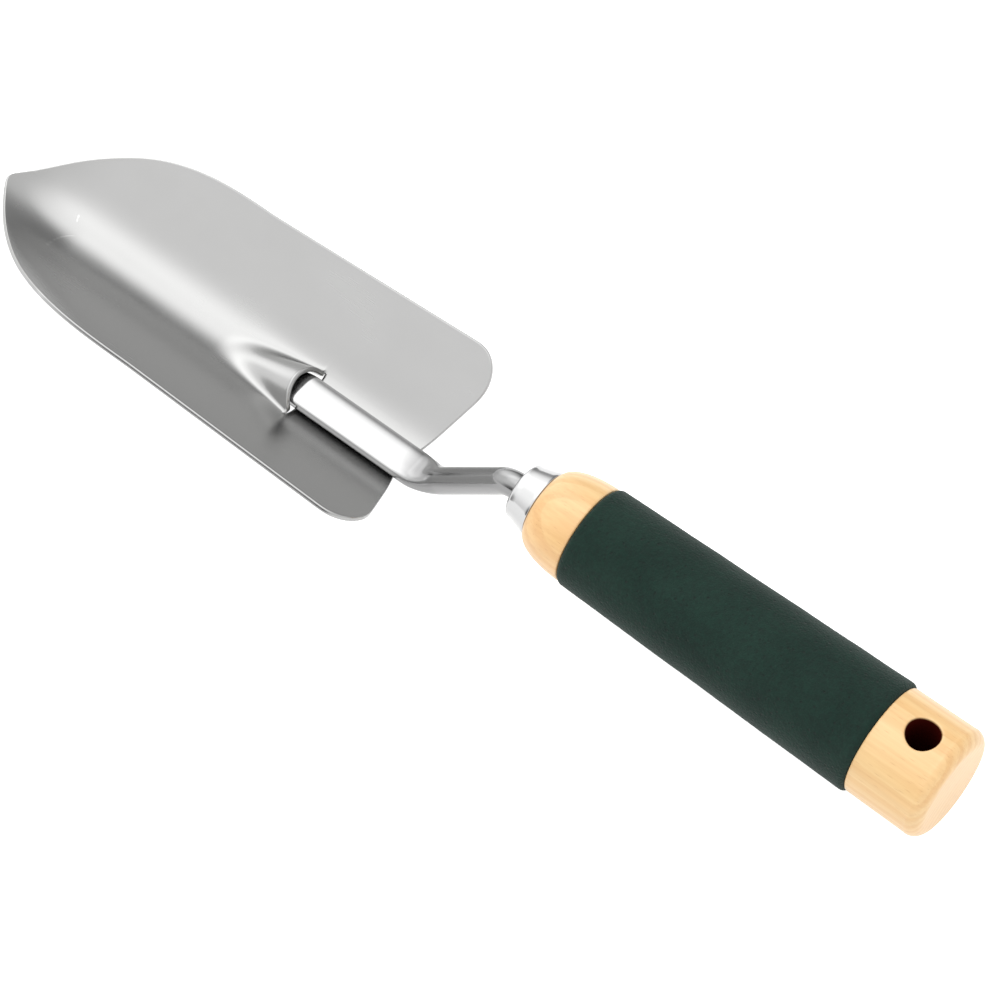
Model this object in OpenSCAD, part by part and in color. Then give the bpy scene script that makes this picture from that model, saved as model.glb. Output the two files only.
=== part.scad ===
// Hand trowel: pressed steel scoop, cranked tang, ferrule, turned wooden
// handle and a foam sleeve grip.
// Origin: centre of the hanging hole, on the handle's axis.
// +X runs towards the scoop's tip, +Z is the open side of the scoop.

/* [Handle] */
// Distance from the hanging hole to the butt end
butt_inset = 11.2; // [9:0.1:14]
// Diameter of the wood at the butt
butt_d = 31.6; // [28:0.1:35]
// Diameter of the wood just in front of the grip
shoulder_d = 27.8; // [25:0.1:30]
// Length of the domed shoulder in front of the grip
shoulder_len = 14; // [8:0.5:20]
// Diameter of the wood where the shoulder meets the ferrule
neck_d = 18.4; // [16:0.1:22]
// Rounding of the butt's edge
butt_round = 3.6; // [1:0.1:6]
// Diameter of the hanging hole
hang_hole_d = 9; // [6:0.5:11]

/* [Grip] */
// Length of the foam sleeve
grip_len = 92; // [70:1:96]
// Distance from the hanging hole to the rear of the sleeve
grip_inset = 11; // [9:0.5:16]
// Outer diameter of the sleeve at its rear
grip_rear_d = 32.6; // [29:0.1:38]
// Outer diameter of the sleeve at its front
grip_front_d = 29; // [26:0.1:34]
// Wall of the sleeve
grip_wall = 3; // [2:0.1:4]
// Rounding of the sleeve's ends
grip_round = 1.2; // [0.4:0.1:1.8]

/* [Ferrule] */
// Visible length of the ferrule
ferrule_len = 7.6; // [6:0.1:12]
// Outer diameter at the wood
ferrule_rear_d = 18.8; // [17:0.1:22]
// Outer diameter at the front
ferrule_front_d = 15.6; // [13:0.1:17]
// Wall of the ferrule
ferrule_wall = 1.2; // [0.8:0.1:1.5]

/* [Tang] */
// Diameter of the round bar
bar_d = 7.4; // [6:0.1:8]
// Depth of the spike in the wood
spike_depth = 64; // [40:1:80]
// Diameter at the end of the spike
spike_end_d = 4.4; // [3:0.1:6]
// Rise of the swan neck, from the scoop's floor to the handle's axis
neck_rise = 27.5; // [24:0.5:32]
// Slope of the swan neck
neck_slope = 46; // [40:1:50]
// Bend radius at the scoop, on the bar's centre line
lower_bend_r = 14; // [10:0.5:16]
// Bend radius at the ferrule, on the bar's centre line
upper_bend_r = 8; // [6:0.5:8.5]
// Straight run between the ferrule and the upper bend
bend_gap = 0.4; // [0:0.1:1]
// Width of the flattened tongue
tongue_w = 10.6; // [8:0.1:11]
// Thickness of the flattened tongue
tongue_t = 4.4; // [3.5:0.1:4.8]
// Squareness of the tongue's section, where 2 is round
tongue_square = 3.5; // [3:0.5:8]
// Size of the tongue's tapered end, as a share of its full section
tongue_taper = 0.5; // [0.3:0.05:0.6]

/* [Scoop] */
// Thickness of the sheet
sheet = 1.3; // [1:0.1:1.8]
// Distance from the front of the ferrule to the middle of the heel
heel_gap = 39; // [38:0.5:42]
// Length of the scoop, from the middle of the heel to the tip
scoop_len = 134; // [120:1:150]
// Width across the shoulders
heel_w = 66.4; // [60:0.2:74]
// Width where the nose begins
nose_w = 61.2; // [54:0.2:66]
// Length of the nose
nose_len = 67.5; // [55:0.5:75]
// Power of the nose's curve, where 2 is an ellipse
nose_power = 3; // [2:0.1:4]
// Fullness of the nose's point, where 0.5 is blunt and 1 is sharp
nose_fullness = 0.9; // [0.5:0.05:1]
// Angle by which the shoulders sweep back
sweep = 19.3; // [10:0.1:24]
// Rounding of the shoulders' corners
corner_r = 8; // [5:0.5:11]
// Slope of the side walls
wall_slope = 35; // [26:0.5:38]
// Inner radius of the trough's floor
floor_r = 18; // [15:0.5:24]
// Radius of the upward bend at the tip, on the floor's inner surface
tip_bend_r = 50; // [44:1:70]
// Length of the nose that bends up
tip_bend_len = 26; // [18:1:30]

/* [Pocket] */
// Distance from the middle of the heel to the pocket's mouth
mouth_gap = 31; // [26:0.5:36]
// Outer radius of the pocket at its mouth
mouth_r = 8.2; // [7.5:0.1:9]
// Length over which the pocket fades into the floor
pocket_len = 28; // [26:1:44]
// Lean of the pocket's lip towards the tip
lip_lean = 22; // [0:1:30]
// Length of the tongue inside the pocket
tongue_hold = 10; // [6:0.5:12]

/* [Hidden] */
$fn = 96;
curve_steps = 16;
ring_steps = 32;
nose_steps = 2 * curve_steps;
fit = 0.04;
slice = 0.2;
far = 200;

// Stations along X
butt_x = -butt_inset;
grip_rear_x = grip_inset;
grip_front_x = grip_inset + grip_len;
wood_front_x = grip_front_x + shoulder_len;
ferrule_front_x = wood_front_x + ferrule_len;
heel_x = ferrule_front_x + heel_gap;
tip_x = heel_x + scoop_len;
mouth_x = heel_x + mouth_gap;
nose_x = tip_x - nose_len;
tip_bend_x = tip_x - tip_bend_len;

// Heights of the scoop's floor and of the tongue's middle
floor_z = -neck_rise;
tongue_z = floor_z + tongue_t / 2;

// The tip's bend is cut by the outline well before this angle
bend_angle = 45;

// How far the pocket's axis sinks below the floor over its length
pocket_sink = 1.4 * sheet;

// Radii of the wood, of the sleeve's seat and of the ferrule's tenon
taper = (butt_d - shoulder_d) / (grip_front_x - butt_x) / 2;
function wood_r(x) = butt_d / 2 - taper * (x - butt_x);
seat_rear_r = grip_rear_d / 2 - grip_wall;
seat_front_r = grip_front_d / 2 - grip_wall;
tenon_r = ferrule_front_d / 2 - ferrule_wall - fit;
tenon_end_x = ferrule_front_x - ferrule_wall - fit;

// The spike tapers over the last two thirds of its depth
spike_end_x = wood_front_x - spike_depth;
spike_taper_x = wood_front_x - spike_depth / 3;

// The swan neck: two bends joined by a straight slope
upper_bend_x = ferrule_front_x + bend_gap;
bend_run = (lower_bend_r + upper_bend_r) * sin(neck_slope);
bend_lift = (lower_bend_r + upper_bend_r) * (1 - cos(neck_slope));
slope_run = (-tongue_z - bend_lift) / tan(neck_slope);
lower_bend_x = upper_bend_x + bend_run + slope_run;

// Points on a quarter of an ellipse about [cx, cy], from angle a0 to a1
function quarter(cx, cy, rx, ry, a0, a1) = [
    for (i = [0 : curve_steps])
        let (a = a0 + (a1 - a0) * i / curve_steps)
        [cx + rx * cos(a), cy + ry * sin(a)]
];

// Revolves a profile of [x, radius] points about the X axis
module turned(profile) {
    rotate([90, 0, 90])
        rotate_extrude()
            polygon([for (p = profile) [p[1], p[0]]]);
}

// Extrudes a [y, z] section along X
module along_x(x0, x1) {
    translate([x0, 0, 0])
        rotate([90, 0, 90])
            linear_extrude(height = x1 - x0)
                children();
}

// The bore that the spike fills, with a little room round it
module spike_bore() {
    turned([
        [spike_end_x - fit, 0],
        [spike_end_x - fit, spike_end_d / 2 + fit],
        [spike_taper_x, bar_d / 2 + fit],
        [ferrule_front_x, bar_d / 2 + fit],
        [ferrule_front_x, 0]
    ]);
}

// Turned handle: a seat for the sleeve, a tenon for the ferrule, a blind bore
// for the spike and the hanging hole
module handle() {
    butt = quarter(
        butt_x + butt_round, butt_d / 2 - butt_round,
        butt_round, butt_round, 180, 90);
    shoulder = quarter(
        grip_front_x, neck_d / 2,
        shoulder_len, wood_r(grip_front_x) - neck_d / 2, 90, 0);
    seat = [
        [grip_rear_x, wood_r(grip_rear_x)],
        [grip_rear_x, seat_rear_r],
        [grip_front_x, seat_front_r]
    ];
    tenon = [
        [wood_front_x, tenon_r],
        [tenon_end_x, tenon_r],
        [tenon_end_x, 0]
    ];
    color("burlywood")
        difference() {
            turned(concat([[butt_x, 0]], butt, seat, shoulder, tenon));
            spike_bore();
            cylinder(h = 2 * butt_d, d = hang_hole_d, center = true);
        }
}

// Foam sleeve with softly rounded ends
module grip() {
    x0 = grip_rear_x + fit;
    x1 = grip_front_x - fit;
    rear = quarter(
        x0 + grip_round, grip_rear_d / 2 - grip_round,
        grip_round, grip_round, 180, 90);
    front = quarter(
        x1 - grip_round, grip_front_d / 2 - grip_round,
        grip_round, grip_round, 90, 0);
    color("darkslategray")
        turned(concat(
            [[x0, seat_rear_r + fit]],
            rear,
            front,
            [[x1, seat_front_r + fit]]));
}

// Tapered cup over the tenon, closed at the front around the bar
module ferrule() {
    x0 = wood_front_x + fit;
    inner_x = ferrule_front_x - ferrule_wall;
    nose = quarter(
        inner_x, ferrule_front_d / 2 - ferrule_wall,
        ferrule_wall, ferrule_wall, 90, 0);
    hollow = [
        [ferrule_front_x, bar_d / 2 + fit],
        [inner_x, bar_d / 2 + fit],
        [inner_x, tenon_r + fit],
        [x0, tenon_r + fit]
    ];
    color("silver")
        turned(concat([[x0, ferrule_rear_d / 2]], nose, hollow));
}

// Cone whose lower half lies under the floor; it sinks as it fades
module pocket_cone(radius) {
    sink = atan(pocket_sink / pocket_len);
    end_r = max(radius - mouth_r + sheet, slice);
    translate([mouth_x, 0, floor_z])
        rotate([0, 90 + sink, 0])
            cylinder(h = pocket_len, r1 = radius, r2 = end_r);
}

// One section of the bar about [x, z], for a bar that runs towards -X and
// climbs at the angle tilt. Its flatness runs from 0, round, to 1, the tongue.
function bar_ring(x, z, tilt, flatness, size = 1) =
    let (
        half_w = size * (bar_d + flatness * (tongue_w - bar_d)) / 2,
        half_h = size * (bar_d + flatness * (tongue_t - bar_d)) / 2,
        power = 2 / (2 + flatness * (tongue_square - 2))
    )
    [for (i = [0 : ring_steps - 1])
        let (
            a = 360 * i / ring_steps,
            y = half_w * sign(cos(a)) * pow(abs(cos(a)), power),
            crown = flatness * max(0, -sin(a)) * (y * y / 2 / floor_r + fit),
            up = half_h * sign(sin(a)) * pow(abs(sin(a)), power) + crown
        )
        [x + up * sin(tilt), y, z + up * cos(tilt)]];

// A closed skin over a row of rings
module skin(rings) {
    count = len(rings);
    points = [for (ring = rings) each ring];
    sides = [
        for (k = [0 : count - 2], i = [0 : ring_steps - 1])
            let (j = (i + 1) % ring_steps)
            [k * ring_steps + i,
             k * ring_steps + j,
             (k + 1) * ring_steps + j,
             (k + 1) * ring_steps + i]
    ];
    first_cap = [for (i = [ring_steps - 1 : -1 : 0]) i];
    last_cap = [for (i = [0 : ring_steps - 1]) (count - 1) * ring_steps + i];
    polyhedron(points, concat([first_cap], sides, [last_cap]));
}

// Cranked bar: tongue in the pocket, swan neck, and spike in the handle
module tang() {
    hold = [
        for (i = [0 : curve_steps / 4])
            let (
                s = i / (curve_steps / 4),
                size = tongue_taper + (1 - tongue_taper) * s,
                x = mouth_x + tongue_hold * (1 - s)
            )
            bar_ring(x, floor_z + size * tongue_t / 2, 0, 1, size)
    ];
    lower_bend = [
        for (i = [0 : curve_steps])
            let (a = neck_slope * i / curve_steps)
            bar_ring(
                lower_bend_x - lower_bend_r * sin(a),
                tongue_z + lower_bend_r * (1 - cos(a)),
                a, 1 - i / curve_steps)
    ];
    upper_bend = [
        for (i = [curve_steps : -1 : 0])
            let (a = neck_slope * i / curve_steps)
            bar_ring(
                upper_bend_x + upper_bend_r * sin(a),
                -upper_bend_r * (1 - cos(a)),
                a, 0)
    ];
    spike = [
        bar_ring(spike_taper_x, 0, 0, 0),
        bar_ring(spike_end_x, 0, 0, 0, spike_end_d / bar_d)
    ];
    color("silver")
        skin(concat(hold, lower_bend, upper_bend, spike));
}

// One face of the trough's section: a floor arc of radius r and two walls
// tangent to it
function trough_face(r) =
    let (
        centre = [0, floor_z + floor_r],
        arc = [for (i = [-curve_steps : curve_steps])
            let (a = wall_slope * i / curve_steps)
            centre + r * [sin(a), -cos(a)]],
        run = heel_w / 2 * cos(wall_slope),
        climb = heel_w / 2 * sin(wall_slope)
    )
    concat(
        [arc[0] + [-run, climb]],
        arc,
        [arc[2 * curve_steps] + [run, climb]]);

// Section of the sheet, between its open side and its underside
module trough_section() {
    inner = trough_face(floor_r);
    outer = trough_face(floor_r + sheet);
    polygon(concat(inner, [for (i = [len(outer) - 1 : -1 : 0]) outer[i]]));
}

// The sheet, straight along the scoop and then bent up round the nose
module pressed_sheet() {
    along_x(ferrule_front_x, tip_bend_x)
        trough_section();
    translate([tip_bend_x, 0, floor_z + tip_bend_r])
        rotate([90, 90, 0])
            rotate_extrude(angle = bend_angle)
                translate([tip_bend_r + floor_z, 0])
                    rotate(90)
                        trough_section();
}

// Half of the scoop's outline, from the middle of the heel to the tip
function half_outline() =
    let (
        corner_y = heel_w / 2 - corner_r,
        corner_x = heel_x - corner_y * tan(sweep) + corner_r / cos(sweep)
    )
    concat(
        [[heel_x, 0]],
        [for (i = [0 : curve_steps])
            let (a = 180 + sweep - (90 + sweep) * i / curve_steps)
            [corner_x + corner_r * cos(a), corner_y + corner_r * sin(a)]],
        [for (i = [0 : nose_steps])
            let (
                s = sin(90 * i / nose_steps),
                share = pow(1 - pow(s, nose_power), nose_fullness)
            )
            [nose_x + nose_len * s, nose_w / 2 * share]]
    );

// Lanced half funnel over the tongue, its lip leaning towards the tip
module pocket() {
    difference() {
        intersection() {
            pocket_cone(mouth_r);
            translate([0, 0, floor_z + floor_r])
                rotate([0, 90, 0])
                    cylinder(h = 2 * far, r = floor_r + sheet / 2);
        }
        pocket_cone(mouth_r - sheet);
        translate([mouth_x, 0, floor_z])
            rotate([0, lip_lean, 0])
                translate([-far / 2, 0, 0])
                    cube([far, far, far / 2], center = true);
    }
}

// Pressed scoop: trough with an up-curved nose and a lanced pocket
module scoop() {
    half = half_outline();
    other_half = [for (i = [len(half) - 2 : -1 : 1]) [half[i][0], -half[i][1]]];
    color("lightgray") {
        difference() {
            intersection() {
                pressed_sheet();
                linear_extrude(height = far, center = true)
                    polygon(concat(half, other_half));
            }
            pocket_cone(mouth_r - sheet);
        }
        pocket();
    }
}

scoop();
tang();
ferrule();
handle();
grip();
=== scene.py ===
"""Hand trowel: its looks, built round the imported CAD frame.

Metres, in the CAD's frame: the origin is the centre of the hanging hole, +X runs
to the scoop's tip and +Z is the scoop's open side. Sizes below are millimetres.
"""

import math

import bmesh
import bpy
import numpy as np
from mathutils import Matrix, Vector
from mathutils import noise as noise_field


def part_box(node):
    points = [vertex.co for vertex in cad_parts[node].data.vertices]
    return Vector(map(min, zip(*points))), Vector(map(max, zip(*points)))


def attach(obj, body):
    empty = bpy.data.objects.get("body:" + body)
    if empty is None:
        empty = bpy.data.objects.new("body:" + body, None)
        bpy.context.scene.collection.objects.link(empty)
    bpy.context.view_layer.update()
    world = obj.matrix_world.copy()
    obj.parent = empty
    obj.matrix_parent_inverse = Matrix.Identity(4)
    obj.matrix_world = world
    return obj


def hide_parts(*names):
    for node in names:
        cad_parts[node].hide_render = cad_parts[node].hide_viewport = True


MM = 0.001
BODY = "root"

# Scoop, in millimetres
SHEET = 1.3
FLOOR_R = 18.0
WALL_SLOPE = math.radians(35)
CORNER_R = 8.0
SWEEP = math.radians(19.3)
HEEL_W = 66.4
NOSE_W = 61.2
SCOOP_LEN = 134.0
NOSE_LEN = 67.5
NOSE_POWER = 3.0
NOSE_FULLNESS = 0.9
TIP_BEND_LEN = 26.0
TIP_BEND_R = 50.0

# Curves of the scoop: spacing, smoothing and number of points
OUTLINE_STEP = 0.25
OUTLINE_BLEND = 1.2
LINE_STEPS = 60
NOSE_STEPS = 400
TROUGH_REACH = 60.0
TROUGH_STEPS = 6000

# Rounded rims: radius, squareness and steps, and the share of a row of the
# mesh that is kept flat beside them
EDGE_R = 0.2
EDGE_POWER = 0.6
EDGE_STEPS = 5
RIM_BAND = 0.008

# Rows of the scoop's mesh, in millimetres: both ends fan out from a point on
# the axis, and the rows stand closer in a zone [middle past the mouth, half
# length]; ROW_REACH is the half width that the pocket's rings are a share of
HEEL_FAN = 9.0
TIP_FAN = 24.0
HEEL_STRIDE = 4
TIP_STRIDE = 3
ROW_STEP = 1.1
MOUTH_STEP = 0.5
MOUTH_ZONE = (3.0, 6.0)
MOUTH_CLEAR = 0.3
ROW_REACH = 32.0
INNER_RINGS = 26
OUTER_RINGS = 22

# Pocket, in millimetres; its blend is given at the mouth and at its end, and
# the hood's rings spread by HOOD_SPREAD over that same length
MOUTH_GAP = 31.0
MOUTH_R = 8.2
POCKET_LEN = 28.0
POCKET_END_R = 3.0
POCKET_BLEND = (0.6, 3.2)
BLEND_REACH = 5
POCKET_EASE = 0.15
POCKET_MARGIN = 2.0
HOOD_POINTS = 400
SIDE_POINTS = 600
PLAIN_POINTS = 800
LIP_LEAN = math.tan(math.radians(22))
SLIT_HALF = 8.5
HOOD_SPREAD = 6.0
SLIT_TAPER = 6

# Tang, in millimetres
BAR_R = 3.7
SPIKE_END_R = 2.2
SPIKE_DEPTH = 64.0
SPIKE_NOSE = 0.7
SPIKE_NOSE_LEN = 1.0
NECK_SLOPE = math.radians(46)
LOWER_BEND_R = 14.0
UPPER_BEND_R = 8.0
UPPER_BEND_OUT = 0.4
TONGUE_W = 10.6
TONGUE_T = 4.4
TONGUE_SQUARE = 3.5
TONGUE_HOLD = 10.0
TONGUE_TAPER = 0.5
BAR_STEPS = 64
BEND_STEPS = 28
HOLD_STEPS = 8
TONGUE_STEP = 1.5

# Turned parts, in millimetres
BUTT_D = 31.6
SHOULDER_D = 27.8
SHOULDER_LEN = 14.0
NECK_D = 18.4
BUTT_ROUND = 3.6
HOLE_R = 4.5
HOLE_ROUND = 0.7
HOLE_PATCH = 2.6
BUTT_FACE_RADII = (0.0, 2.0, 4.0, 6.0, 8.0, 10.0, 11.4)
SEAT_EDGE = 0.4
SEAT_SUPPORT = 2.0
GRIP_REAR_D = 32.6
GRIP_FRONT_D = 29.0
GRIP_WALL = 3.0
GRIP_ROUND = 1.5
GRIP_END_BAND = 0.5
GRIP_CORE = 1.4
FERRULE_REAR_D = 18.8
FERRULE_FRONT_D = 15.6
FERRULE_WALL = 1.2
FERRULE_ROLL = 0.5
FERRULE_LIP = 0.3
FERRULE_FLANK = (-0.06, 0.02)
SUPPORT = 0.4
FIT = 0.04

# Points round each turned part, and the rows of the patch round the hole
WOOD_STEPS = 160
PATCH_HALF_STEPS = 22
PATCH_ROWS = 8
LIP_STEPS = 6
GRIP_STEPS = 256
FERRULE_STEPS = 128

# The foam's skin: its mean dent, then the scale and depth of lumps and grain
FOAM_DENT = 0.10
FOAM_LUMPS = (0.09, 0.10)
FOAM_GRAIN = (0.9, 0.035)
FOAM_GRAIN_SHIFT = (7, 3, 1)

# Linear colours
WHITE = (1.0, 1.0, 1.0)
SHEET_TINT = (0.31, 0.31, 0.307)
BAR_TINT = (0.46, 0.46, 0.46)
CUP_TINT = (0.44, 0.44, 0.44)
# Painted shade: a darker colour for the tang's neck, standing in for its dark
# reflections
NECK_SHADE_TINT = (0.5, 0.5, 0.5)
# Painted contact shadow and dark reflection low on the tongue's sides
CONTACT_SHADE_TINT = (0.08, 0.08, 0.08)
# Painted shade inside the hanging hole
BORE_SHADE_TINT = (0.035, 0.003, 0.002)
EARLY_WOOD = (0.585, 0.42, 0.215)
LATE_WOOD = (0.545, 0.36, 0.165)
WOOD_STREAK = (0.86, 0.80, 0.72)
WOOD_TONES = ((1.0, 0.90, 0.80), (1.0, 1.0, 0.98))
WOOD_PORE = (0.62, 0.46, 0.34)
FOAM_TINTS = ((0.0028, 0.0140, 0.0098), (0.0052, 0.0195, 0.0138))
FOAM_SPECKS = ((0.70, 0.72, 0.72), (1.25, 1.22, 1.2))
FOAM_PIT = (0.004, 0.009, 0.007)
FLOOR_TINTS = ((0.50, 0.50, 0.50), (0.52, 0.52, 0.52))

# Plating: how much darker its clouds and brighter its worn edges are
CLOUD_SHADE = 0.96
EDGE_SHINE = 1.15

# Painted shade on the tang, a dark band low on the tongue's sides and a darker neck:
# how far a face has to look sideways, then the band's height over the floor and the
# neck's start past the heel, in millimetres
CONTACT_SHADE_SIDE = (0.45, 0.85)
CONTACT_SHADE_RISE = (1.4, 2.6)
NECK_START = (-6, -1)

# Growth rings: distance from the handle's axis to the heart of the tree and
# how far the rings wander, in metres, and rings per metre
HEART_Y = 0.021
HEART_Z = 0.034
RING_WARP = 0.0022
RINGS = 420.0

# Studio: the sky's level, then [direction, width in degrees, added level]:
# box overhead and its fill, flag on the -Y side, two boxes ahead of the tip,
# flag on the +Y side
STUDIO_LEVEL = 1.80
STUDIO_PATCHES = [
    ((0.289, -0.08, 0.954), 44, 1.60),
    ((0.29, 0.52, 0.80), 44, 0.50),
    ((0.30, -0.88, 0.38), 50, -1.25),
    ((0.72, -0.42, 0.52), 36, 1.8),
    ((0.86, 0.30, 0.42), 34, 0.6),
    ((0.20, 0.97, 0.10), 34, -1.6),
]
SKY_FLOOR = 0.02

# Floor, in millimetres: how far in it touches the heel, and how far round the
# butt's edge, as a share of that round
FLOOR_GLOW = 0.85
HEEL_REST = 2.0
BUTT_REST = 0.9
FLOOR_GAP = 0.05
FLOOR_RADIUS = 4000.0
FLOOR_RINGS = 40
FLOOR_STEPS = 96

# Camera: the photograph's viewing angle
VIEW_ROLL = math.radians(34.936)
VIEW_TILT = math.radians(16.788)
VIEW_TURN = math.radians(27.266)
VIEW_DISTANCE = 1500.0
VIEW_RIGHT = 5.62
VIEW_UP = 2.80
VIEW_LENS = 212.3
SENSOR = 36.0
CLIP = (0.01, 50.0)

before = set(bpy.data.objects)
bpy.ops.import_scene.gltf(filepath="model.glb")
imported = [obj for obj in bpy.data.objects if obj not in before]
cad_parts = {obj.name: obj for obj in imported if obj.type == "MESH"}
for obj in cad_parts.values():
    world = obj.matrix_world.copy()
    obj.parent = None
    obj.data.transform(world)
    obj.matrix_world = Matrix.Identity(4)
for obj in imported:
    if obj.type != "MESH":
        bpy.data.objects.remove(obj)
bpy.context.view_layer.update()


# ---------------------------------------------------------------- stations

def box_mm(name):
    """The lowest and highest corners of a CAD node, in millimetres."""
    lo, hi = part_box(name)
    return np.array(lo) / MM, np.array(hi) / MM


scoop_lo, scoop_hi = box_mm("scoop")
ferrule_lo, ferrule_hi = box_mm("ferrule")
handle_lo, _ = box_mm("handle")
grip_lo, grip_hi = box_mm("grip")

TIP_X = scoop_hi[0]
HEEL_X = TIP_X - SCOOP_LEN
FLOOR_Z = scoop_lo[2] + SHEET
MOUTH_X = HEEL_X + MOUTH_GAP
NOSE_X = TIP_X - NOSE_LEN
TIP_BEND_X = TIP_X - TIP_BEND_LEN
FERRULE_FRONT_X = ferrule_hi[0]
WOOD_FRONT_X = ferrule_lo[0] - FIT
TAPER_X = WOOD_FRONT_X - SPIKE_DEPTH / 3
# Heights and places, in metres, of the tang's painted shade
CONTACT_SHADE_HEIGHTS = [(FLOOR_Z + rise) * MM for rise in CONTACT_SHADE_RISE]
TONGUE_NECK_JOIN = [(HEEL_X + past) * MM for past in NECK_START]


# ---------------------------------------------------------------- mesh tools

def add_mesh(name, verts, faces):
    """A smooth-shaded mesh object from points in millimetres."""
    mesh = bpy.data.meshes.new(name)
    points = (np.asarray(verts, float) * MM).tolist()
    mesh.from_pydata(points, [], [list(map(int, f)) for f in faces])
    mesh.update()
    obj = bpy.data.objects.new(name, mesh)
    bpy.context.scene.collection.objects.link(obj)
    mesh.polygons.foreach_set("use_smooth", [True] * len(mesh.polygons))
    return obj


def weld(verts, faces, tol=1e-4):
    """Joins points closer than tol and drops faces that collapse."""
    keys, index, kept = {}, [], []
    for p in np.asarray(verts, float):
        key = tuple(np.round(p / tol).astype(int))
        if key not in keys:
            keys[key] = len(kept)
            kept.append(p)
        index.append(keys[key])
    out = []
    for f in faces:
        ring = []
        for i in f:
            j = index[i]
            if j not in ring:
                ring.append(j)
        if len(ring) >= 3:
            out.append(ring)
    return np.array(kept), out


def vertex_normals(verts, faces):
    """Area weighted normals of the points of a mesh."""
    normals = np.zeros_like(verts)
    for f in faces:
        p = verts[f]
        n = np.zeros(3)
        for i in range(1, len(f) - 1):
            n += np.cross(p[i] - p[0], p[i + 1] - p[0])
        normals[f] += n
    length = np.linalg.norm(normals, axis=1, keepdims=True)
    return normals / np.maximum(length, 1e-12)


def thicken(verts, faces, thickness):
    """A closed sheet below an open surface, with rounded rims."""
    normals = vertex_normals(verts, faces)
    count = len(verts)
    points = [verts, verts - thickness * normals]
    solid = [list(f) for f in faces]
    solid += [[i + count for i in reversed(f)] for f in faces]
    edges = [(a, b) for f in faces for a, b in zip(f, f[1:] + f[:1])]
    known = set(edges)
    rim = [(a, b) for a, b in edges if (b, a) not in known]
    outward = np.zeros_like(verts)
    for a, b in rim:
        side = np.cross(verts[b] - verts[a], normals[a] + normals[b])
        side /= max(np.linalg.norm(side), 1e-12)
        outward[a] += side / 2
        outward[b] += side / 2
    rim_points = sorted({i for edge in rim for i in edge})
    place = {v: k for k, v in enumerate(rim_points)}
    rows = [rim_points]
    base = 2 * count
    for s in range(1, EDGE_STEPS):
        angle = math.pi * s / EDGE_STEPS
        depth = thickness * (1 - math.cos(angle)) / 2
        bulge = EDGE_R * math.sin(angle) ** EDGE_POWER
        points.append(np.array(
            [verts[v] - depth * normals[v] + bulge * outward[v]
             for v in rim_points]))
        rows.append([base + k for k in range(len(rim_points))])
        base += len(rim_points)
    rows.append([v + count for v in rim_points])
    for a, b in rim:
        i, j = place[a], place[b]
        for upper, lower in zip(rows, rows[1:]):
            solid.append([upper[j], upper[i], lower[i], lower[j]])
    return np.vstack(points), solid


def lathe(profile, steps):
    """Revolves [x, radius] points about the X axis."""
    verts, rings = [], []
    for x, r in profile:
        if r < 1e-6:
            rings.append([len(verts)] * steps)
            verts.append([x, 0.0, 0.0])
            continue
        start = len(verts)
        for i in range(steps):
            a = 2 * math.pi * i / steps
            verts.append([x, r * math.sin(a), r * math.cos(a)])
        rings.append(list(range(start, start + steps)))
    faces = []
    for lower, upper in zip(rings, rings[1:]):
        for i in range(steps):
            j = (i + 1) % steps
            ring = []
            for k in (lower[i], lower[j], upper[j], upper[i]):
                if k not in ring:
                    ring.append(k)
            if len(ring) >= 3:
                faces.append(ring)
    return np.array(verts), faces


def arc(cx, cr, rx, rr, a0, a1, steps=10):
    """[x, radius] points on an ellipse about [cx, cr], angles in degrees."""
    out = []
    for i in range(steps + 1):
        a = math.radians(a0 + (a1 - a0) * i / steps)
        out.append([cx + rx * math.cos(a), cr + rr * math.sin(a)])
    return out


def run(x0, r0, x1, r1, steps):
    """[x, radius] points on a line, without its last one."""
    return [[x0 + (x1 - x0) * i / steps, r0 + (r1 - r0) * i / steps]
            for i in range(steps)]


# ---------------------------------------------------------------- scoop

def trough_table():
    """[y, height] along half of the trough's inner face; the slope eases in."""
    ease = FLOOR_R * WALL_SLOPE / 2 / (1 - 2 / math.pi)
    s = np.linspace(0, TROUGH_REACH, TROUGH_STEPS + 1)
    slope = WALL_SLOPE * np.sin(np.clip(s / ease, 0, 1) * math.pi / 2)
    step = s[1] - s[0]
    mid = (slope[1:] + slope[:-1]) / 2
    y = np.concatenate([[0], np.cumsum(np.cos(mid) * step)])
    z = np.concatenate([[0], np.cumsum(np.sin(mid) * step)])
    return y, z


TROUGH_Y, TROUGH_H = trough_table()


def trough_height(y):
    """Height of the trough's inner face over its floor, at y off the axis."""
    return np.interp(np.abs(y), TROUGH_Y, TROUGH_H)


def sheet_z(x, y):
    """Height of the scoop's inner face above or below the handle's axis."""
    h = trough_height(y)
    past = np.clip(x - TIP_BEND_X, 0, None)
    r = TIP_BEND_R - h
    return FLOOR_Z + TIP_BEND_R - np.sqrt(np.maximum(r * r - past * past, 1e-6))


def sheet_normal(x, y, d=0.05):
    """The inner face's upward normal, from slopes over 2 d."""
    zx = (sheet_z(x + d, y) - sheet_z(x - d, y)) / (2 * d)
    zy = (sheet_z(x, y + d) - sheet_z(x, y - d)) / (2 * d)
    n = np.array([-zx, -zy, 1.0])
    return n / np.linalg.norm(n)


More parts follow.
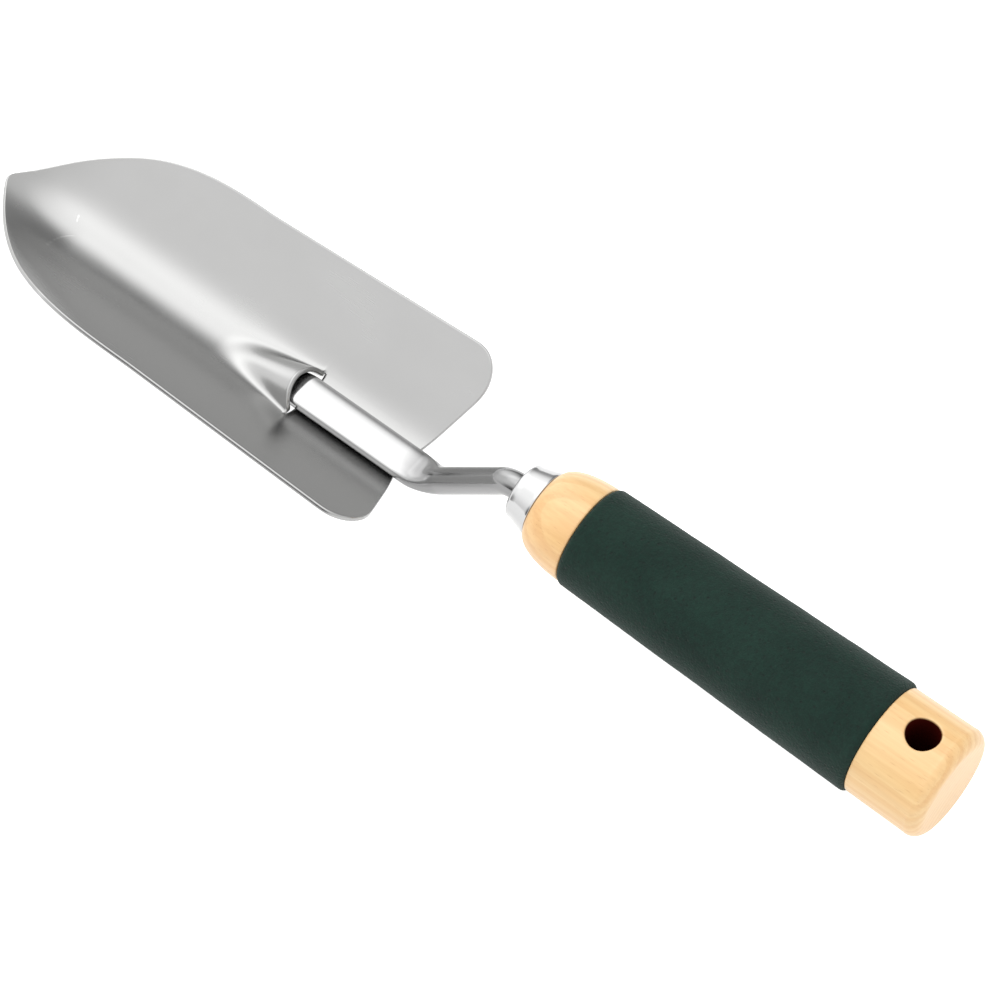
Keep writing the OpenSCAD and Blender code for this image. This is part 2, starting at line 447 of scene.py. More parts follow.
def outline():
    """Half of the scoop's outline, from the middle of the heel to the tip."""
    corner_y = HEEL_W / 2 - CORNER_R
    corner_x = HEEL_X - corner_y * math.tan(SWEEP) + CORNER_R / math.cos(SWEEP)
    start = math.pi + SWEEP
    corner = [corner_x + CORNER_R * math.cos(start),
              corner_y + CORNER_R * math.sin(start)]
    points = []
    for i in range(LINE_STEPS):
        s = i / LINE_STEPS
        points.append([HEEL_X + (corner[0] - HEEL_X) * s, corner[1] * s])
    for i in range(LINE_STEPS + 1):
        a = start - (math.pi / 2 + SWEEP) * i / LINE_STEPS
        points.append([corner_x + CORNER_R * math.cos(a),
                       corner_y + CORNER_R * math.sin(a)])
    for i in range(1, LINE_STEPS):
        s = i / LINE_STEPS
        points.append([corner_x + (NOSE_X - corner_x) * s,
                       HEEL_W / 2 + (NOSE_W - HEEL_W) / 2 * s])
    for i in range(NOSE_STEPS + 1):
        s = math.sin(math.pi / 2 * i / NOSE_STEPS)
        w = (1 - s ** NOSE_POWER) ** NOSE_FULLNESS
        points.append([NOSE_X + NOSE_LEN * s, NOSE_W / 2 * w])
    return resample(np.array(points), OUTLINE_STEP, OUTLINE_BLEND)


def path_length(line):
    """Distance along a polyline at each of its points."""
    seg = np.linalg.norm(np.diff(line, axis=0), axis=1)
    return np.concatenate([[0], np.cumsum(seg)])


def at_lengths(line, wanted):
    """Points at the wanted distances along a polyline."""
    s = path_length(line)
    return np.column_stack(
        [np.interp(wanted, s, line[:, k]) for k in range(2)])


def blurred(line, step, sigma):
    """Gaussian smoothing of even points; it eats blur_pad points off each end."""
    pad = blur_pad(step, sigma)
    k = np.arange(-pad, pad + 1) * step
    kernel = np.exp(-k * k / (2 * sigma * sigma))
    kernel /= kernel.sum()
    return np.column_stack(
        [np.convolve(line[:, c], kernel, mode="valid") for c in range(2)])


def blur_pad(step, sigma):
    """Number of points on each side that the smoothing reaches."""
    return int(4 * sigma / step)


def resample(line, step, sigma):
    """An even, smoothed polyline; both ends lie on the axis it is mirrored at."""
    length = path_length(line)[-1]
    even = at_lengths(line, np.linspace(0, length, int(length / step) + 1))
    pad = blur_pad(step, sigma)
    flip = np.array([1.0, -1.0])
    head = even[1:pad + 1][::-1] * flip
    tail = even[-pad - 1:-1][::-1] * flip
    return blurred(np.vstack([head, even, tail]), step, sigma)


OUTLINE = outline()


def rim_point(p):
    """Where the inner face ends, so that the underside ends at the outline."""
    n = sheet_normal(p[0], p[1])
    return p + SHEET * n[:2]


def softened(y, h, sigma, step=0.05):
    """Points of a half section after smoothing along its length."""
    line = np.column_stack([y, h])
    even = at_lengths(line, np.arange(0, path_length(line)[-1], step))
    head = even[1:blur_pad(step, sigma) + 1][::-1] * np.array([-1.0, 1.0])
    soft = blurred(np.vstack([head, even]), step, sigma)
    soft[0, 0] = 0.0
    return soft


def pocket_section(x, y_end):
    """[y, height, rise] over half of the section at x, from its middle."""
    fade = min(max((x - MOUTH_X) / POCKET_LEN, 0.0), 1.0)
    sigma = POCKET_BLEND[0] + (POCKET_BLEND[1] - POCKET_BLEND[0]) * fade
    radius = MOUTH_R + (POCKET_END_R - MOUTH_R) * fade
    sink = POCKET_END_R * fade
    a = np.linspace(0, math.pi / 2, HOOD_POINTS)
    hood_y, hood_h = radius * np.sin(a), radius * np.cos(a) - sink
    above = hood_h > trough_height(hood_y)
    foot = hood_y[above][-1] if above.any() else 0.0
    far_y = y_end + BLEND_REACH * sigma
    base_y = np.linspace(foot, far_y, SIDE_POINTS)
    soft = softened(np.concatenate([hood_y[above], base_y[1:]]),
                    np.concatenate([hood_h[above], trough_height(base_y[1:])]),
                    sigma)
    plain_y = np.linspace(0, far_y, PLAIN_POINTS)
    plain = softened(plain_y, trough_height(plain_y), sigma)
    rise = soft[:, 1] - np.interp(soft[:, 0], plain[:, 0], plain[:, 1])
    soft[:, 1] = trough_height(soft[:, 0]) + np.maximum(rise, 0)
    soft = soft[:int(np.argmax(soft[:, 0] >= y_end)) + 1]
    wanted = np.linspace(0, path_length(soft)[-1], INNER_RINGS + 1)
    y, h = at_lengths(soft, wanted).T
    y[-1] = y_end
    if fade > 0:
        ease = np.clip((y_end - y) / (POCKET_EASE * y_end), 0, 1)
        h = trough_height(y) + (h - trough_height(y)) * ease
    h[-1] = trough_height(y_end)
    return y, h, np.maximum(h - trough_height(y), 0)


def mesh_rows():
    """[kind, middle, edge] of each row of the mesh, from the heel to the tip.

    Two rows share the mouth's place: the low one lies on the floor and the high
    one is the pocket's lip, with the slit between them.
    """
    heel_pole = np.array([HEEL_X + HEEL_FAN, 0.0])
    tip_pole = np.array([TIP_X - TIP_FAN, 0.0])
    at_heel = OUTLINE[:, 0] < heel_pole[0]
    at_tip = OUTLINE[:, 0] > tip_pole[0]
    side = OUTLINE[~at_tip & ~at_heel]
    rows = [("base", heel_pole, p) for p in OUTLINE[at_heel][::HEEL_STRIDE]]
    xs, x = [MOUTH_X], heel_pole[0]
    while x < tip_pole[0]:
        if abs(x - MOUTH_X) > MOUTH_CLEAR:
            xs.append(x)
        near = abs(x - MOUTH_X - MOUTH_ZONE[0]) < MOUTH_ZONE[1]
        x += MOUTH_STEP if near else ROW_STEP
    for x in sorted(xs):
        middle = np.array([x, 0.0])
        edge = np.array([x, np.interp(x, side[:, 0], side[:, 1])])
        if x == MOUTH_X:
            rows += [("low", middle, edge), ("high", middle, edge)]
        elif MOUTH_X < x < MOUTH_X + POCKET_LEN + POCKET_MARGIN:
            rows.append(("hood", middle, edge))
        else:
            rows.append(("base", middle, edge))
    tip_run = OUTLINE[at_tip]
    rows += [("base", tip_pole, p) for p in tip_run[::TIP_STRIDE]]
    if not np.allclose(rows[-1][2], tip_run[-1]):
        rows.append(("base", tip_pole, tip_run[-1]))
    return rows


def row_points(kind, middle, edge):
    """Points of one row, from the scoop's middle to its rim."""
    rim = rim_point(edge)
    rim[1] = max(rim[1], 0.0)
    past_mouth = middle[0] - MOUTH_X
    reach = SLIT_HALF
    if past_mouth > 0:
        reach += HOOD_SPREAD * math.sin(
            math.pi / 2 * min(past_mouth / HOOD_SPREAD, 1))
    share = reach / ROW_REACH
    inner = np.linspace(0, share, INNER_RINGS + 1)
    band = np.append(np.linspace(0, 1 - RIM_BAND, OUTER_RINGS)[1:], 1.0)
    rho = np.concatenate([inner, share + (1 - share) * band])
    flat = middle + rho[:, None] * (rim - middle)
    px, py = flat[:, 0].copy(), flat[:, 1].copy()
    pz = sheet_z(px, py)
    if kind in ("high", "hood"):
        y, h, rise = pocket_section(middle[0], py[INNER_RINGS])
        fade = min(max(past_mouth / POCKET_LEN, 0), 1)
        py[:INNER_RINGS + 1] = y
        pz[:INNER_RINGS + 1] = FLOOR_Z + h
        px[:INNER_RINGS + 1] += rise * LIP_LEAN * (1 - fade) ** 2
    index = np.arange(len(rho))
    taper = np.clip((INNER_RINGS - index) / SLIT_TAPER, 0, 1)
    px += {"low": -EDGE_R, "high": EDGE_R}.get(kind, 0.0) * taper
    return np.column_stack([px, py, pz])


def scoop_piece():
    """The pressed sheet with its lanced pocket, as one closed shell."""
    table = mesh_rows()
    grid = [row_points(*row) for row in table]
    width = len(grid[0])
    faces = []
    for k in range(len(grid) - 1):
        if table[k][0] == "low":
            continue
        a, b = k * width, (k + 1) * width
        for i in range(width - 1):
            faces.append([a + i, b + i, b + i + 1, a + i + 1])
    verts = np.vstack(grid)
    half = len(verts)
    both = np.vstack([verts, verts * np.array([1.0, -1.0, 1.0])])
    faces += [[i + half for i in reversed(f)] for f in faces]
    both, faces = weld(both, faces)
    return add_mesh("scoop_sheet", *thicken(both, faces, SHEET))


# ---------------------------------------------------------------- tang

def bar_ring(x, z, tilt, flatness, size=1.0):
    """One section of the bar, which runs towards -X and climbs by tilt.

    Flatness 1 is the tongue and 0 is the round bar.
    """
    half_w = size * (BAR_R + flatness * (TONGUE_W / 2 - BAR_R))
    half_h = size * (BAR_R + flatness * (TONGUE_T / 2 - BAR_R))
    power = 2 / (2 + flatness * (TONGUE_SQUARE - 2))
    out = []
    for i in range(BAR_STEPS):
        a = 2 * math.pi * i / BAR_STEPS
        c, s = math.cos(a), math.sin(a)
        y = half_w * math.copysign(abs(c) ** power, c)
        crown = flatness * max(0.0, -s) * (y * y / 2 / FLOOR_R + FIT)
        up = half_h * math.copysign(abs(s) ** power, s) + crown
        out.append([x + up * math.sin(tilt), y, z + up * math.cos(tilt)])
    return out


def tang_piece():
    """Cranked bar: tongue in the pocket, swan neck, spike in the handle."""
    tongue_z = FLOOR_Z + TONGUE_T / 2
    upper_x = FERRULE_FRONT_X + UPPER_BEND_OUT
    radii = LOWER_BEND_R + UPPER_BEND_R
    lift = radii * (1 - math.cos(NECK_SLOPE))
    lower_x = (upper_x + radii * math.sin(NECK_SLOPE)
               + (-tongue_z - lift) / math.tan(NECK_SLOPE))
    rings = []
    for i in range(HOLD_STEPS + 1):
        s = i / HOLD_STEPS
        size = TONGUE_TAPER + (1 - TONGUE_TAPER) * math.sin(s * math.pi / 2)
        rings.append(bar_ring(
            MOUTH_X + TONGUE_HOLD * (1 - s), FLOOR_Z + size * TONGUE_T / 2,
            0, 1, size))
    flat = int((MOUTH_X - lower_x) / TONGUE_STEP)
    for i in range(1, flat):
        x = MOUTH_X + (lower_x - MOUTH_X) * i / flat
        rings.append(bar_ring(x, tongue_z, 0, 1))
    for i in range(BEND_STEPS + 1):
        a = NECK_SLOPE * i / BEND_STEPS
        ease = 1 - i / BEND_STEPS
        flatness = ease * ease * (3 - 2 * ease)
        rings.append(bar_ring(
            lower_x - LOWER_BEND_R * math.sin(a),
            tongue_z + LOWER_BEND_R * (1 - math.cos(a)), a, flatness))
    for i in range(BEND_STEPS, -1, -1):
        a = NECK_SLOPE * i / BEND_STEPS
        rings.append(bar_ring(
            upper_x + UPPER_BEND_R * math.sin(a),
            -UPPER_BEND_R * (1 - math.cos(a)), a, 0))
    spike_end = WOOD_FRONT_X - SPIKE_DEPTH
    rings.append(bar_ring(TAPER_X, 0, 0, 0))
    rings.append(
        bar_ring(spike_end + SPIKE_NOSE_LEN, 0, 0, 0, SPIKE_END_R / BAR_R))
    rings.append(
        bar_ring(spike_end, 0, 0, 0, SPIKE_NOSE * SPIKE_END_R / BAR_R))
    count = BAR_STEPS
    verts = np.array(rings).reshape(-1, 3)
    faces = []
    for k in range(len(rings) - 1):
        for i in range(count):
            j = (i + 1) % count
            faces.append([k * count + i, k * count + j,
                          (k + 1) * count + j, (k + 1) * count + i])
    faces.append(list(range(count))[::-1])
    last = (len(rings) - 1) * count
    faces.append([last + i for i in range(count)])
    return add_mesh("tang_bar", verts, faces)


# ---------------------------------------------------------------- turned parts

def wood_radius(x):
    """Radius of the wood's outer skin, which tapers evenly to the shoulder."""
    length = grip_hi[0] + FIT - handle_lo[0]
    return (BUTT_D - (BUTT_D - SHOULDER_D) * (x - handle_lo[0]) / length) / 2


def wood_profile():
    """[x, radius] of the turned wood, from the butt to the bottom of the bore."""
    butt_x = handle_lo[0]
    rear_x, front_x = grip_lo[0] - FIT, grip_hi[0] + FIT
    seat_rear = GRIP_REAR_D / 2 - GRIP_WALL
    seat_front = GRIP_FRONT_D / 2 - GRIP_WALL
    tenon_r = FERRULE_FRONT_D / 2 - FERRULE_WALL - FIT
    tenon_x = FERRULE_FRONT_X - FERRULE_WALL - FIT
    spike_end = WOOD_FRONT_X - SPIKE_DEPTH - FIT
    soft = SEAT_EDGE / 4

    profile = [[butt_x, r] for r in BUTT_FACE_RADII]
    profile += arc(butt_x + BUTT_ROUND, BUTT_D / 2 - BUTT_ROUND,
                   BUTT_ROUND, BUTT_ROUND, 180, 90, 14)
    body_x = profile[-1][0] + SUPPORT / 2
    body_end = rear_x - SEAT_EDGE
    profile += run(body_x, wood_radius(body_x),
                   body_end, wood_radius(body_end), 28)
    profile += [[body_end, wood_radius(body_end)],
                [rear_x - soft, wood_radius(rear_x) - soft],
                [rear_x, wood_radius(rear_x) - SEAT_EDGE],
                [rear_x, seat_rear]]
    profile += run(rear_x + SEAT_SUPPORT, seat_rear, front_x, seat_front, 20)
    profile += [[front_x, seat_front],
                [front_x, wood_radius(front_x) - SEAT_EDGE],
                [front_x + soft, wood_radius(front_x) - soft]]
    profile += arc(front_x, NECK_D / 2, SHOULDER_LEN,
                   wood_radius(front_x) - NECK_D / 2, 88, 0, 30)
    profile += [[WOOD_FRONT_X, tenon_r], [tenon_x, tenon_r],
                [tenon_x, BAR_R + FIT], [TAPER_X, BAR_R + FIT],
                [spike_end, SPIKE_END_R + FIT], [spike_end, 0.0]]
    return profile


def window_loop(side, first, last, starts):
    """Points round the window that the hole's patch fills, on one side."""
    middle = 0 if side > 0 else WOOD_STEPS // 2
    a0, a1 = middle - PATCH_HALF_STEPS, middle + PATCH_HALF_STEPS
    loop = [starts[first] + a % WOOD_STEPS for a in range(a0, a1)]
    loop += [starts[k] + a1 % WOOD_STEPS for k in range(first, last)]
    loop += [starts[last] + a % WOOD_STEPS for a in range(a1, a0, -1)]
    loop += [starts[k] + a0 % WOOD_STEPS for k in range(last, first, -1)]
    return loop


def hole_patch(verts, loop, side):
    """Rows of points from the window to the hole's wall; they join verts."""
    def add_row(flat, z):
        rows.append(list(range(len(verts), len(verts) + len(loop))))
        verts.extend(np.column_stack([flat, z]).tolist())

    outer = np.array([verts[i] for i in loop])[:, :2]
    angles = np.arctan2(outer[:, 1], outer[:, 0])
    circle = np.column_stack([np.cos(angles), np.sin(angles)])
    lip = (HOLE_R + HOLE_ROUND) * circle
    rows = [loop]
    for s in range(1, PATCH_ROWS + 1):
        flat = outer + (lip - outer) * (s / PATCH_ROWS)
        r = wood_radius(flat[:, 0])
        add_row(flat, side * np.sqrt(r * r - flat[:, 1] ** 2))
    edge_z = np.array([verts[i][2] for i in rows[-1]])
    for s in range(1, LIP_STEPS + 1):
        a = math.pi / 2 * s / LIP_STEPS
        radius = HOLE_R + HOLE_ROUND * (1 - math.sin(a))
        add_row(radius * circle, edge_z - side * HOLE_ROUND * (1 - math.cos(a)))
    return rows, np.argsort(angles)


def handle_piece():
    """Turned handle with its rounded butt, shoulder, tenon and hanging hole."""
    profile = wood_profile()
    verts, faces = lathe(profile, WOOD_STEPS)
    sizes = [1 if r < 1e-6 else WOOD_STEPS for x, r in profile]
    starts = np.concatenate([[0], np.cumsum(sizes)]).tolist()
    window = [k for k, (x, r) in enumerate(profile)
              if abs(x) <= HOLE_R + HOLE_PATCH]
    first, last = window[0], window[-1]
    x_first, x_last = profile[first][0], profile[last][0]
    half_angle = 2 * math.pi * PATCH_HALF_STEPS / WOOD_STEPS
    kept = []
    for f in faces:
        x, y, z = verts[f].mean(axis=0)
        if not x_first < x < x_last or abs(math.atan2(y, abs(z))) >= half_angle:
            kept.append(f)
    verts = verts.tolist()
    walls = []
    for side in (1, -1):
        loop = window_loop(side, first, last, starts)
        rows, order = hole_patch(verts, loop, side)
        for upper, lower in zip(rows, rows[1:]):
            for i in range(len(loop)):
                j = (i + 1) % len(loop)
                kept.append([upper[i], upper[j], lower[j], lower[i]])
        walls.append([rows[-1][i] for i in order])
    top, bottom = walls
    for i in range(len(top)):
        j = (i + 1) % len(top)
        kept.append([top[i], top[j], bottom[j], bottom[i]])
    obj = add_mesh("handle_wood", verts, kept)
    tidy_normals(obj)
    return obj


def tidy_normals(obj):
    """Turns every face outward."""
    bm = bmesh.new()
    bm.from_mesh(obj.data)
    bmesh.ops.recalc_face_normals(bm, faces=bm.faces)
    bm.to_mesh(obj.data)
    bm.free()
    obj.data.update()


def grip_piece():
    """Foam sleeve: a soft tube whose skin is slightly uneven."""
    x0, x1 = grip_lo[0], grip_hi[0]
    r0, r1 = GRIP_REAR_D / 2, GRIP_FRONT_D / 2
    inner0, inner1 = r0 - GRIP_WALL + FIT, r1 - GRIP_WALL + FIT
    profile = [[x0, inner0], [x0, r0 - GRIP_ROUND - GRIP_END_BAND]]
    profile += arc(x0 + GRIP_ROUND, r0 - GRIP_ROUND,
                   GRIP_ROUND, GRIP_ROUND, 180, 90, 10)
    profile += run(x0 + GRIP_ROUND + SUPPORT, r0,
                   x1 - GRIP_ROUND - SUPPORT, r1, 200)
    profile += arc(x1 - GRIP_ROUND, r1 - GRIP_ROUND,
                   GRIP_ROUND, GRIP_ROUND, 90, 0, 10)
    profile += [[x1, r1 - GRIP_ROUND - GRIP_END_BAND], [x1, inner1],
                [x0, inner0]]
    verts, faces = weld(*lathe(profile, GRIP_STEPS))
    radius = np.hypot(verts[:, 1], verts[:, 2])
    shift = Vector(FOAM_GRAIN_SHIFT)
    for i, p in enumerate(verts):
        if radius[i] < inner1 + GRIP_CORE:
            continue
        v = Vector(p)
        lump = noise_field.noise(v * FOAM_LUMPS[0]) * FOAM_LUMPS[1]
        grain = noise_field.noise(v * FOAM_GRAIN[0] + shift) * FOAM_GRAIN[1]
        dent = lump - FOAM_DENT + grain
        scale = (radius[i] + dent) / radius[i]
        verts[i, 1] *= scale
        verts[i, 2] *= scale
    return add_mesh("grip_foam", verts, faces)


def ferrule_piece():
    """Tapered cup with a rolled rear edge and a rounded, closed front."""
    x0 = ferrule_lo[0]
    inner_x = FERRULE_FRONT_X - FERRULE_WALL
    bar = BAR_R + FIT
    tenon = FERRULE_FRONT_D / 2 - FERRULE_WALL
    rear = FERRULE_REAR_D / 2
    front = FERRULE_FRONT_D / 2
    flank_rear, flank_front = FERRULE_FLANK
    profile = [[x0, tenon + FERRULE_ROLL / 5], [x0, rear - FERRULE_ROLL]]
    profile += arc(x0 + FERRULE_ROLL, rear - FERRULE_ROLL,
                   FERRULE_ROLL, FERRULE_ROLL, 180, 90, 6)
    profile += run(x0 + FERRULE_ROLL + SUPPORT, rear + flank_rear,
                   inner_x - SUPPORT, front + flank_front, 10)
    profile += arc(inner_x, front - FERRULE_WALL,
                   FERRULE_WALL, FERRULE_WALL, 90, 0, 10)
    profile += run(FERRULE_FRONT_X, front - FERRULE_WALL - SUPPORT,
                   FERRULE_FRONT_X, bar + FERRULE_LIP, 5)
    profile += arc(FERRULE_FRONT_X - FERRULE_LIP, bar + FERRULE_LIP,
                   FERRULE_LIP, FERRULE_LIP, 0, -90, 5)
    profile += [[inner_x, bar], [inner_x, tenon], [x0, tenon],
                [x0, tenon + FERRULE_ROLL / 5]]
    return add_mesh("ferrule_cup", *weld(*lathe(profile, FERRULE_STEPS)))


# ---------------------------------------------------------------- materials

def new_material(name):
    """A material with one principled shader, its node tree and the shader."""
    mat = bpy.data.materials.new(name)
    mat.use_nodes = True
    tree = mat.node_tree
    tree.nodes.clear()
    out = tree.nodes.new("ShaderNodeOutputMaterial")
    shader = tree.nodes.new("ShaderNodeBsdfPrincipled")
    tree.links.new(shader.outputs[0], out.inputs["Surface"])
    return mat, tree, shader


def node(tree, kind, inputs=None, **settings):
    """A shader node with its settings and its inputs, linked or set."""
    made = tree.nodes.new(kind)
    for key, value in settings.items():
        setattr(made, key, value)
    for key, value in (inputs or {}).items():
        if isinstance(value, bpy.types.NodeSocket):
            tree.links.new(value, made.inputs[key])
        else:
            made.inputs[key].default_value = value
    return made


def stretched(tree, scale, offset=(0, 0, 0)):
    """Object coordinates, scaled along each axis."""
    coords = node(tree, "ShaderNodeTexCoord")
    return node(tree, "ShaderNodeMapping",
                {"Vector": coords.outputs["Object"], "Scale": scale,
                 "Location": offset}).outputs[0]


def ramp(tree, value, stops):
    """The colour that a value picks between stops of [place, colour]."""
    made = node(tree, "ShaderNodeValToRGB", {"Fac": value})
    band = made.color_ramp
    while len(band.elements) < len(stops):
        band.elements.new(0.5)
    for element, (place, colour) in zip(band.elements, stops):
        element.position = place
        element.color = (*colour, 1.0)
    return made.outputs[0]


def span(tree, value, low, high, from_low=0.0, from_high=1.0):
    """A value, mapped from one range to low and high."""
    return node(tree, "ShaderNodeMapRange",
                {"Value": value, "From Min": from_low, "From Max": from_high,
                 "To Min": low, "To Max": high}).outputs[0]


def plug(tree, shader, **inputs):
    """Links or sets a shader's inputs; an underscore stands for a space."""
    for key, value in inputs.items():
        socket = shader.inputs[key.replace("_", " ")]
        if isinstance(value, bpy.types.NodeSocket):
            tree.links.new(value, socket)
        else:
            socket.default_value = value


def maths(tree, operation, a, b=None):
    """A maths node's result; a and b are sockets or numbers."""
    inputs = {0: a} if b is None else {0: a, 1: b}
    return node(tree, "ShaderNodeMath", inputs, operation=operation).outputs[0]


def noise(tree, scale, offset=(0, 0, 0), **inputs):
    """Noise over object coordinates, from 0 to 1."""
    return node(tree, "ShaderNodeTexNoise",
                {"Vector": stretched(tree, scale, offset), "Scale": 1.0,
                 **inputs}).outputs["Fac"]


def cells(tree, scale, **inputs):
    """Distance to the middle of the nearest of many random cells."""
    return node(tree, "ShaderNodeTexVoronoi",
                {"Vector": stretched(tree, scale), "Scale": 1.0,
                 **inputs}).outputs["Distance"]


def blend(tree, share, a, b, **settings):
    """Two colours, mixed; b may be a plain colour."""
    colour = (*b, 1.0) if isinstance(b, tuple) else b
    return node(tree, "ShaderNodeMix", {0: share, 6: a, 7: colour},
                data_type="RGBA", **settings).outputs[2]


def multiply(tree, a, b, share=1.0):
    """Colour a, darkened by colour b for the given share."""
    return blend(tree, share, a, b, blend_type="MULTIPLY")


def steel(name, tint, rough, brush):
    """Plated steel: cloudy sheen, fine polishing lines and bright worn edges."""
    mat, tree, shader = new_material(name)
    cloud = noise(tree, (40, 60, 60), Detail=4.0, Roughness=0.55)
    lines = noise(tree, (60, 3200, 3200), Detail=3.0, Roughness=0.6)
    peel = noise(tree, (260, 260, 260), Detail=2.0)
    edge = node(tree, "ShaderNodeNewGeometry").outputs["Pointiness"]
    worn = span(tree, edge, 0.0, 1.0, 0.52, 0.60)
    cloudy = tuple(c * CLOUD_SHADE for c in tint)
    shiny = tuple(min(1, c * EDGE_SHINE) for c in tint)
    base = ramp(tree, cloud, [(0.3, cloudy), (0.7, tint)])
    colour = blend(tree, worn, base, shiny)
    roughness = maths(
        tree, "ADD", span(tree, cloud, rough * 0.85, rough * 1.15, 0.3, 0.7),
        span(tree, lines, -0.02, 0.03))
    fine = node(tree, "ShaderNodeBump",
                {"Height": lines, "Strength": brush, "Distance": 0.00002})
    soft = node(tree, "ShaderNodeBump",
                {"Height": peel, "Strength": 0.05, "Distance": 0.0002,
                 "Normal": fine.outputs[0]})
    plug(tree, shader, Base_Color=colour, Metallic=1.0, Roughness=roughness,
         Normal=soft.outputs[0])
    return mat


def bar_steel_with_painted_shade(name, tint, rough, brush):
    """Plated bar with painted shade: a darker neck and a dark band low on the
    tongue's sides.
    """
    mat = steel(name, tint, rough, brush)
    tree = mat.node_tree
    shader = tree.nodes["Principled BSDF"]
    base = shader.inputs["Base Color"].links[0].from_socket
    coords = node(tree, "ShaderNodeTexCoord").outputs["Object"]
    place = node(tree, "ShaderNodeSeparateXYZ", {0: coords})
    facing = node(tree, "ShaderNodeSeparateXYZ",
                  {0: node(tree, "ShaderNodeNewGeometry").outputs["Normal"]})
    # Painted contact shadow and dark reflection: the tongue's sides go dark low
    # down, near the floor
    side = maths(tree, "ABSOLUTE", facing.outputs[1])
    side = span(tree, side, 0.0, 1.0, *CONTACT_SHADE_SIDE)
    tongue = span(tree, place.outputs[0], 0.0, 1.0, *TONGUE_NECK_JOIN)
    low = span(tree, place.outputs[2], 1.0, 0.0, *CONTACT_SHADE_HEIGHTS)
    contact_shade = maths(tree, "MULTIPLY", maths(tree, "MULTIPLY", side, tongue), low)
    # Painted shade: the neck is darkened to stand in for the dark things it reflects
    neck = span(tree, place.outputs[0], 1.0, 0.0, *TONGUE_NECK_JOIN)
    neck_shaded = multiply(tree, base, NECK_SHADE_TINT, neck)
    plug(tree, shader, Base_Color=multiply(tree, neck_shaded, CONTACT_SHADE_TINT, contact_shade))
    return mat


def wood(name):
    """Turned pale hardwood: growth rings, fibres, pores, a thin varnish and painted
    shade inside the hanging hole.
    """
    mat, tree, shader = new_material(name)
    warp = noise(tree, (9, 45, 45), Detail=3.0)
    coords = node(tree, "ShaderNodeTexCoord").outputs["Object"]
    place = node(tree, "ShaderNodeSeparateXYZ", {0: coords})
    heart = node(tree, "ShaderNodeCombineXYZ",
                 {0: maths(tree, "ADD", place.outputs[1], HEART_Y),
                  1: maths(tree, "ADD", place.outputs[2], HEART_Z), 2: 0.0})
    away = node(tree, "ShaderNodeVectorMath", {0: heart.outputs[0]},
                operation="LENGTH").outputs["Value"]
    bent = maths(tree, "ADD", span(tree, warp, -RING_WARP, RING_WARP), away)
    ring = maths(tree, "MULTIPLY", bent, RINGS)
    ring = maths(tree, "FRACT", ring)
    ring = node(tree, "ShaderNodeFloatCurve", {"Value": ring})
    # A ring darkens slowly and pales again fast
    curve = ring.mapping.curves[0]
    curve.points[0].location = (0.0, 0.0)
    curve.points[1].location = (1.0, 0.0)
    curve.points.new(0.75, 0.9)
    curve.points.new(0.35, 0.25)
    ring.mapping.update()
    fibre = noise(tree, (30, 900, 900), Detail=4.0, Roughness=0.65)
    pore = span(tree, cells(tree, (180, 1700, 1700), Randomness=1.0),
                1.0, 0.0, 0.04, 0.22)
    cloud = noise(tree, (14, 40, 40), (3, 1, 2), Detail=2.0)
    base = ramp(tree, ring.outputs[0], [(0.0, EARLY_WOOD), (1.0, LATE_WOOD)])
    streak = ramp(tree, fibre, [(0.3, WOOD_STREAK), (0.7, WHITE)])
    tone = ramp(tree, cloud, [(0.3, WOOD_TONES[0]), (0.7, WOOD_TONES[1])])
    colour = multiply(tree, multiply(tree, base, streak, 0.8), tone)
    dark = multiply(tree, colour, WOOD_PORE)
    colour = blend(tree, span(tree, pore, 0.0, 0.45), colour, dark)
    across = node(tree, "ShaderNodeCombineXYZ",
                  {0: place.outputs[0], 1: place.outputs[1], 2: 0.0})
    reach = node(tree, "ShaderNodeVectorMath", {0: across.outputs[0]},
                 operation="LENGTH").outputs["Value"]
    bore = span(tree, reach, 1.0, 0.0, (HOLE_R + FIT / 2) * MM,
                (HOLE_R + HOLE_ROUND / 2) * MM)
    # Painted shade: the inside of the hanging hole is darkened almost to black
    colour = blend(tree, bore, colour, BORE_SHADE_TINT)
    height = maths(tree, "SUBTRACT", fibre, pore)
    bump = node(tree, "ShaderNodeBump",
                {"Height": height, "Strength": 0.25, "Distance": 0.00006})
    plug(tree, shader, Base_Color=colour, Normal=bump.outputs[0],
         Roughness=span(tree, fibre, 0.34, 0.50),
         Coat_Weight=span(tree, bore, 0.25, 0.0), Coat_Roughness=0.22,
         Specular_IOR_Level=span(tree, bore, 0.5, 0.0))
    return mat


def foam(name):
    """Dark green closed cell foam: pores, fine grain, a matt sheen and clouds."""
    mat, tree, shader = new_material(name)
    fine = cells(tree, (1500, 1500, 1500))
    pit = span(tree, cells(tree, (520, 520, 520)), 1.0, 0.0, 0.05, 0.24)
    grain = noise(tree, (700, 700, 700), Detail=5.0, Roughness=0.7)
    cloud = noise(tree, (70, 90, 90), Detail=3.0)
    base = ramp(tree, cloud, [(0.3, FOAM_TINTS[0]), (0.7, FOAM_TINTS[1])])
    speck = ramp(tree, grain, [(0.35, FOAM_SPECKS[0]), (0.7, FOAM_SPECKS[1])])
    colour = blend(tree, span(tree, pit, 0, 0.8), multiply(tree, base, speck),
                   FOAM_PIT)
    height = maths(tree, "ADD", maths(tree, "SUBTRACT", fine, pit), grain)
    bump = node(tree, "ShaderNodeBump",
                {"Height": height, "Strength": 0.7, "Distance": 0.00018})
    plug(tree, shader, Base_Color=colour, Normal=bump.outputs[0],
         Roughness=span(tree, grain, 0.72, 0.95), Sheen_Weight=0.04,
         Sheen_Roughness=0.5, Specular_IOR_Level=0.18)
    return mat


# ---------------------------------------------------------------- pieces

def dress(obj, cad_node, mat):
    """Gives a piece its material and puts it on the body for its CAD node."""
    obj.data.materials.clear()
    obj.data.materials.append(mat)
    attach(obj, BODY)
    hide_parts(cad_node)


